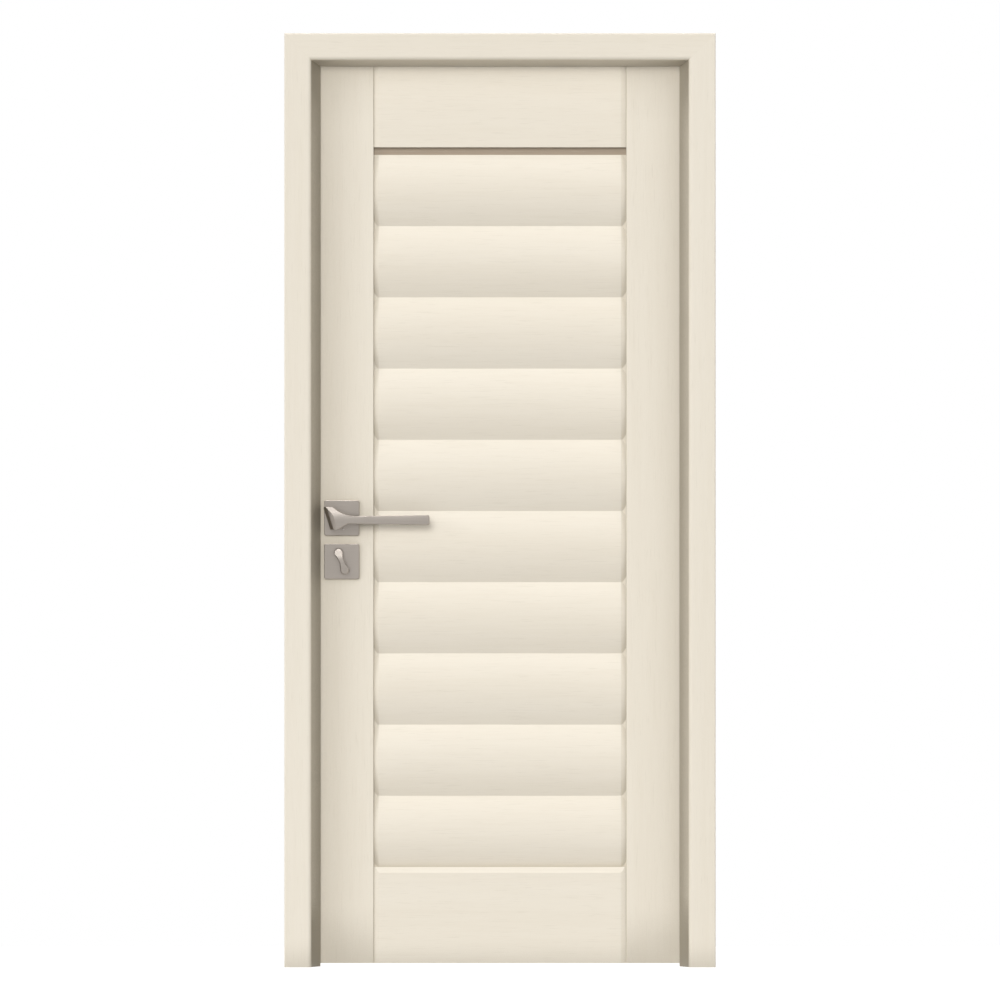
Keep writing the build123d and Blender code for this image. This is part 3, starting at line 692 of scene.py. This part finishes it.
room = {"tone": (1.0, 0.985, 0.96, 1), "strength": 0.13}
world = bpy.data.worlds.new("studio")
bpy.context.scene.world = world
world.use_nodes = True
tree = world.node_tree
soft = tree.nodes["Background"]
soft.inputs["Color"].default_value = room["tone"]
soft.inputs["Strength"].default_value = room["strength"]
white = addNode(tree, "ShaderNodeBackground", (0, -200))
white.inputs["Color"].default_value = (1, 1, 1, 1)
white.inputs["Strength"].default_value = 1.0
path = addNode(tree, "ShaderNodeLightPath", (-500, 300))
seen = mathNode(tree, "MAXIMUM", (-250, 300), path.outputs["Is Camera Ray"], path.outputs["Is Glossy Ray"])
seen = mathNode(tree, "MAXIMUM", (-100, 300), seen, path.outputs["Is Transmission Ray"])
either = addNode(tree, "ShaderNodeMixShader", (200, 0))
join(tree, seen, either.inputs[0])
join(tree, soft.outputs[0], either.inputs[1])
join(tree, white.outputs[0], either.inputs[2])
join(tree, either.outputs[0], tree.nodes["World Output"].inputs["Surface"])


# a pale floor that reads white to the eye but throws little light back
studio = {"front": -14.0, "behind": 1.3, "side": 7.0, "tone": (0.30, 0.30, 0.295, 1), "glow": 0.80}
floorMesh = bpy.data.meshes.new("studioFloor")
floorMesh.from_pydata([(-studio["side"], studio["front"], 0), (studio["side"], studio["front"], 0),
                       (studio["side"], studio["behind"], 0), (-studio["side"], studio["behind"], 0)],
                      [], [(0, 1, 2, 3)])
floorObject = bpy.data.objects.new("studioFloor", floorMesh)
bpy.context.scene.collection.objects.link(floorObject)
floorPaint = bpy.data.materials.new("floorPaint")
floorPaint.use_nodes = True
tree = floorPaint.node_tree
shader = tree.nodes["Principled BSDF"]
shader.inputs["Base Color"].default_value = studio["tone"]
shader.inputs["Roughness"].default_value = 0.9
shader.inputs["Specular IOR Level"].default_value = 0.0
glow = addNode(tree, "ShaderNodeEmission", (0, -400))
glow.inputs["Color"].default_value = (1, 1, 1, 1)
glow.inputs["Strength"].default_value = studio["glow"]
path = addNode(tree, "ShaderNodeLightPath", (-300, 300))
both = addNode(tree, "ShaderNodeAddShader", (300, -200))
join(tree, shader.outputs[0], both.inputs[0])
join(tree, glow.outputs[0], both.inputs[1])
seenFloor = mathNode(tree, "MAXIMUM", (0, 300), path.outputs["Is Camera Ray"],
                     path.outputs["Is Glossy Ray"])
choose = addNode(tree, "ShaderNodeMixShader", (500, 0))
join(tree, seenFloor, choose.inputs[0])
join(tree, shader.outputs[0], choose.inputs[1])
join(tree, both.outputs[0], choose.inputs[2])
join(tree, choose.outputs[0], tree.nodes["Material Output"].inputs["Surface"])
floorMesh.materials.append(floorPaint)
print("lamps and floor set")


# screws of the hinges, the face plate and the strike plate
hingeScrews = {"rows": (-0.038, -0.013, 0.013, 0.038), "fromBack": (0.009, 0.018)}
plateScrews = {"fromEnd": 0.0095}
turns = (12, 47, 75, 31, 5, 63, 88, 22, 54)     # the angle at which each screw came to rest
screwCount = 0
for place in ("bottom", "middle", "top"):
    low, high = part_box("frame_hinge_" + place)
    middle = (low.z + high.z) / 2
    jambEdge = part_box("hinge_stile")[1].x + 0.005
    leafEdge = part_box("hinge_stile")[1].x
    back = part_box("hinge_stile")[1].y
    for row, rise in enumerate(hingeScrews["rows"]):
        depth = back - hingeScrews["fromBack"][row % 2]
        setScrew("screwJamb_%s_%d" % (place, row + 1), (jambEdge, depth, middle + rise), (-1, 0, 0),
                 turns[screwCount % len(turns)], "frame", crossScrew)
        setScrew("screwLeaf_%s_%d" % (place, row + 1), (leafEdge, depth, middle + rise), (1, 0, 0),
                 turns[(screwCount + 4) % len(turns)], "leaf", crossScrew)
        screwCount += 1

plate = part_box("face_plate")
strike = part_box("strike_plate")
for name, box, body, outward, edge in (("face", plate, "leaf", (-1, 0, 0), plate[0].x),
                                       ("strike", strike, "frame", (1, 0, 0), strike[1].x)):
    for end, z in (("low", box[0].z + plateScrews["fromEnd"]), ("high", box[1].z - plateScrews["fromEnd"])):
        setScrew("screw_%s_%s" % (name, end), (edge, (plate[0].y + plate[1].y) / 2, z), outward,
                 turns[screwCount % len(turns)], body, crossScrew)
        screwCount += 1

# each lever is held on its spindle by a small socket screw from below
grubScrews = {"across": 0.003, "out": 0.017}
for side, sign in (("front", 1), ("back", -1)):
    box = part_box(side + "_lever")
    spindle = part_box("lever_spindle")
    axisX = (spindle[0].x + spindle[1].x) / 2
    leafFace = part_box("lock_stile")[0].y if side == "front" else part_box("lock_stile")[1].y
    at = (axisX + grubScrews["across"], leafFace - sign * grubScrews["out"], box[0].z)
    setScrew("grubScrew_" + side, at, (0, 0, -1), 10, "handle", socketScrew)
print("screws set,", screwCount, "with cross heads")
